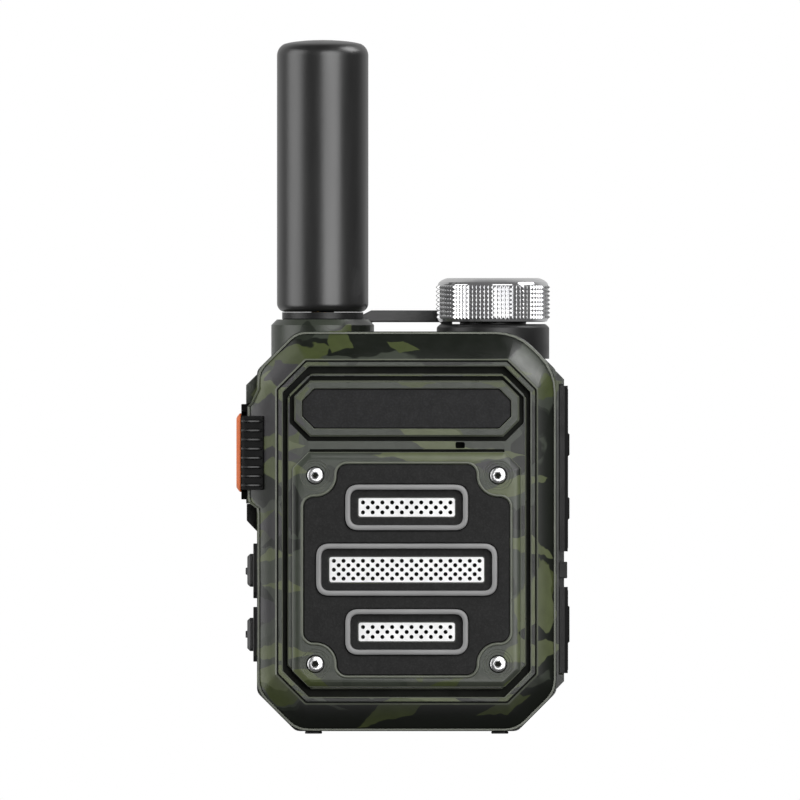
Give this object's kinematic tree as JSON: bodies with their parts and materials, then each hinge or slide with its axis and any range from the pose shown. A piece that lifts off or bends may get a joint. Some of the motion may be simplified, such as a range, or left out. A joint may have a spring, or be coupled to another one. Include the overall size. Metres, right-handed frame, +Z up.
{
  "type": "pocket two-way radio",
  "caption": "Rugged pocket two-way radio with a stub antenna, knurled volume knob, push-to-talk key, covered ports, screwed speaker grille and sprung belt clip.",
  "frame": {"origin": "on the surface that the feet stand on, under the middle of the whole object's box", "axes": "+Z up along the antenna, +X to the right of someone facing the speaker grille, +Y to the back, so the grille faces -Y"},
  "size_m": [0.0582, 0.034, 0.1214],
  "materials": {
    "camouflage_shell": "satin printed camouflage in dark green, olive, grey green and charcoal",
    "black_plastic": "fine-grained black",
    "antenna_black": "satin black",
    "black_rubber": "matt black rubber",
    "dark_grey_plastic": "satin dark grey",
    "grey_plastic": "satin light grey",
    "orange_plastic": "satin orange",
    "dark_window": "dark window, finely speckled",
    "chrome": "polished",
    "steel": "plain",
    "mesh_metal": "perforated, silver white",
    "brass": "plain",
    "circuit_board": "green solder mask",
    "battery_wrap": "dark grey wrap"
  },
  "bodies": {
    "case": {"front_shell": "camouflage_shell", "rear_shell": "camouflage_shell", "shell_gasket": "black_rubber", "case_screw_1": "steel", "case_screw_2": "steel", "case_screw_3": "steel", "case_screw_4": "steel", "foot_front_left": "black_rubber", "foot_front_right": "black_rubber", "foot_rear_left": "black_rubber", "foot_rear_right": "black_rubber", "display_window": "dark_window", "display_module": "dark_grey_plastic", "grille_frame": "camouflage_shell", "grille_plate": "black_plastic", "bezel_top": "grey_plastic", "bezel_middle": "grey_plastic", "bezel_bottom": "grey_plastic", "mesh_top": "mesh_metal", "mesh_middle": "mesh_metal", "mesh_bottom": "mesh_metal", "grille_screw_1": "chrome", "grille_screw_2": "chrome", "grille_screw_3": "chrome", "grille_screw_4": "chrome", "microphone": "steel", "speaker": "dark_grey_plastic", "speaker_gasket": "black_rubber", "antenna_sheath": "antenna_black", "antenna_core": "brass", "antenna_base": "black_plastic", "volume_pot": "dark_grey_plastic", "pot_nut": "steel", "knob_collar": "black_plastic", "lanyard_bar": "dark_grey_plastic", "ptt_frame": "black_rubber", "ptt_switch": "black_plastic", "side_key_mat": "black_rubber", "side_switch_upper": "black_plastic", "side_switch_lower": "black_plastic", "rail_end_cap": "black_rubber", "cover_block": "black_rubber", "jack_block": "black_plastic", "usb_socket": "steel", "main_board": "circuit_board", "rf_shield": "steel", "battery_pack": "battery_wrap", "battery_door": "camouflage_shell", "door_screw": "steel", "clip_pin": "steel", "clip_spring": "steel"},
    "volume_knob": {"knob_cap": "chrome", "knob_hub": "black_plastic", "volume_shaft": "steel"},
    "push_to_talk": {"ptt_key": "orange_plastic"},
    "upper_side_key": {"side_key_upper": "black_rubber"},
    "lower_side_key": {"side_key_lower": "black_rubber"},
    "jack_flap": {"jack_cover": "black_rubber"},
    "port_flap": {"port_cover": "black_rubber"},
    "clip": {"belt_clip": "black_plastic"}
  },
  "joints": [
    {"name": "volume_turn", "type": "hinge", "parent": "case", "child": "volume_knob", "pos_m": [0.01575, -0.00155, 0.075], "axis": [0, 0, -1], "range_deg": [0, 300]},
    {"name": "push_to_talk_press", "type": "slide", "parent": "case", "child": "push_to_talk", "axis": [1, 0, 0], "range_m": [0, 0.0009], "stiffness_N_per_m": 1500, "springref_m": -0.0005},
    {"name": "upper_key_press", "type": "slide", "parent": "case", "child": "upper_side_key", "axis": [1, 0, 0], "range_m": [0, 0.0006], "stiffness_N_per_m": 1500, "springref_m": -0.0004},
    {"name": "lower_key_press", "type": "slide", "parent": "case", "child": "lower_side_key", "axis": [1, 0, 0], "range_m": [0, 0.0006], "stiffness_N_per_m": 1500, "springref_m": -0.0004},
    {"name": "jack_cover_swing", "type": "hinge", "parent": "case", "child": "jack_flap", "pos_m": [0.02815, 0.00465, 0.0464], "axis": [0, 0, 1], "range_deg": [0, 110]},
    {"name": "port_cover_swing", "type": "hinge", "parent": "case", "child": "port_flap", "pos_m": [0.02815, 0.00465, 0.01815], "axis": [0, 0, 1], "range_deg": [0, 110]},
    {"name": "clip_open", "type": "hinge", "parent": "case", "child": "clip", "pos_m": [0.00065, 0.01345, 0.057], "axis": [1, 0, 0], "range_deg": [0, 18], "stiffness_Nm_per_rad": 0.5, "springref_deg": -17.19}
  ]
}
